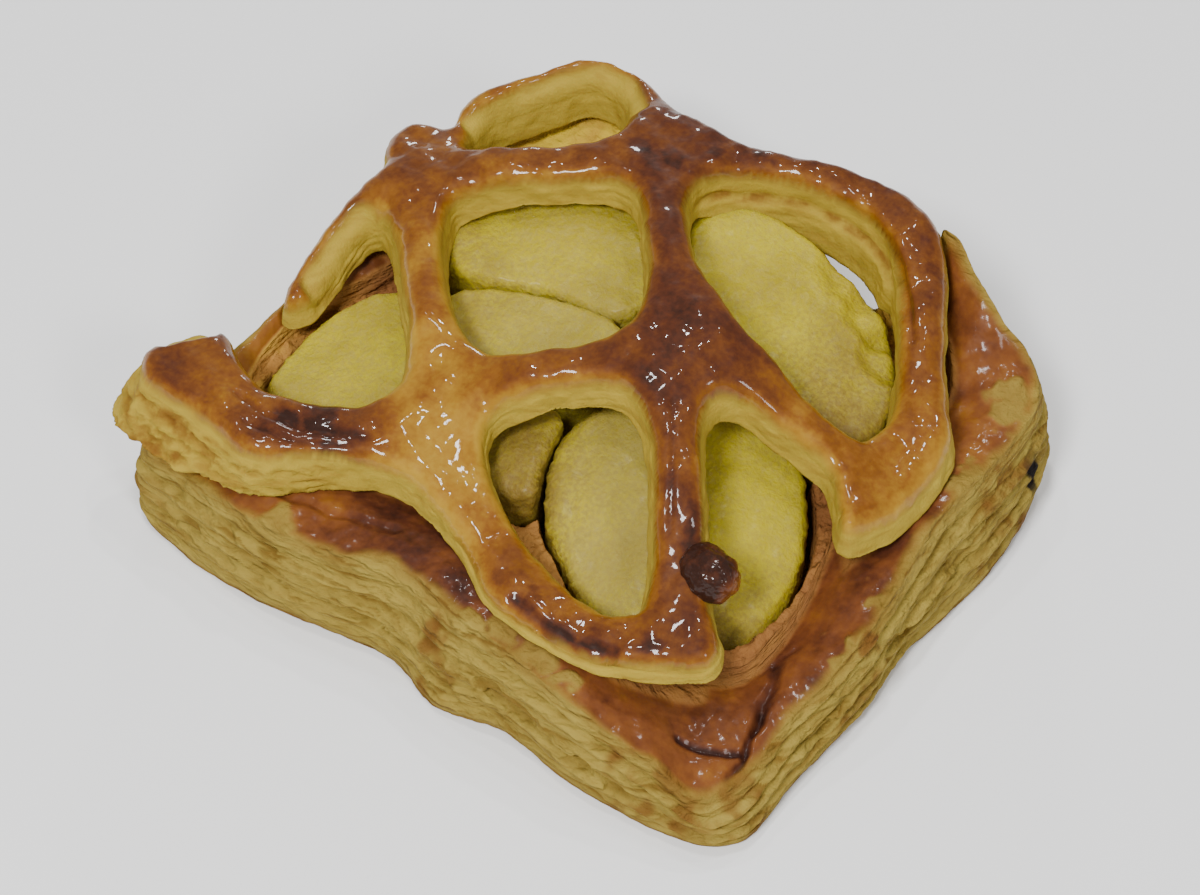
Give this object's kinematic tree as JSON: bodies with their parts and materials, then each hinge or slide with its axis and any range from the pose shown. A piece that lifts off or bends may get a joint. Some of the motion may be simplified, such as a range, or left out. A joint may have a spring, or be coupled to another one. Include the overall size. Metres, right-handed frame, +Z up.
{
  "type": "mini apple pie",
  "caption": "Square puff-pastry tart with flaky laminated sides, apple slices in its well and a domed, egg-glazed lattice of pastry baked over them.",
  "frame": {"origin": "middle of the footprint's bounding box, on the surface that the pie stands on", "axes": "+Z up; +X along the long flaky side, towards the thin pinched corner; that side faces -Y"},
  "size_m": [0.117, 0.1011, 0.0422],
  "materials": {
    "baked_pastry": "dry and flaky, cream to golden, browner at torn edges",
    "glazed_pastry": "glossy baked egg glaze, golden orange to dark brown",
    "apple_flesh": "moist cooked apple, yellow-green, faintly grainy"
  },
  "bodies": {
    "root": {"case": "baked_pastry", "lattice": "glazed_pastry", "apple_left": "apple_flesh", "apple_middle_back": "apple_flesh", "apple_middle_front": "apple_flesh", "apple_right": "apple_flesh", "apple_front": "apple_flesh", "apple_front_left": "apple_flesh", "apple_front_right": "apple_flesh"}
  },
  "joints": []
}
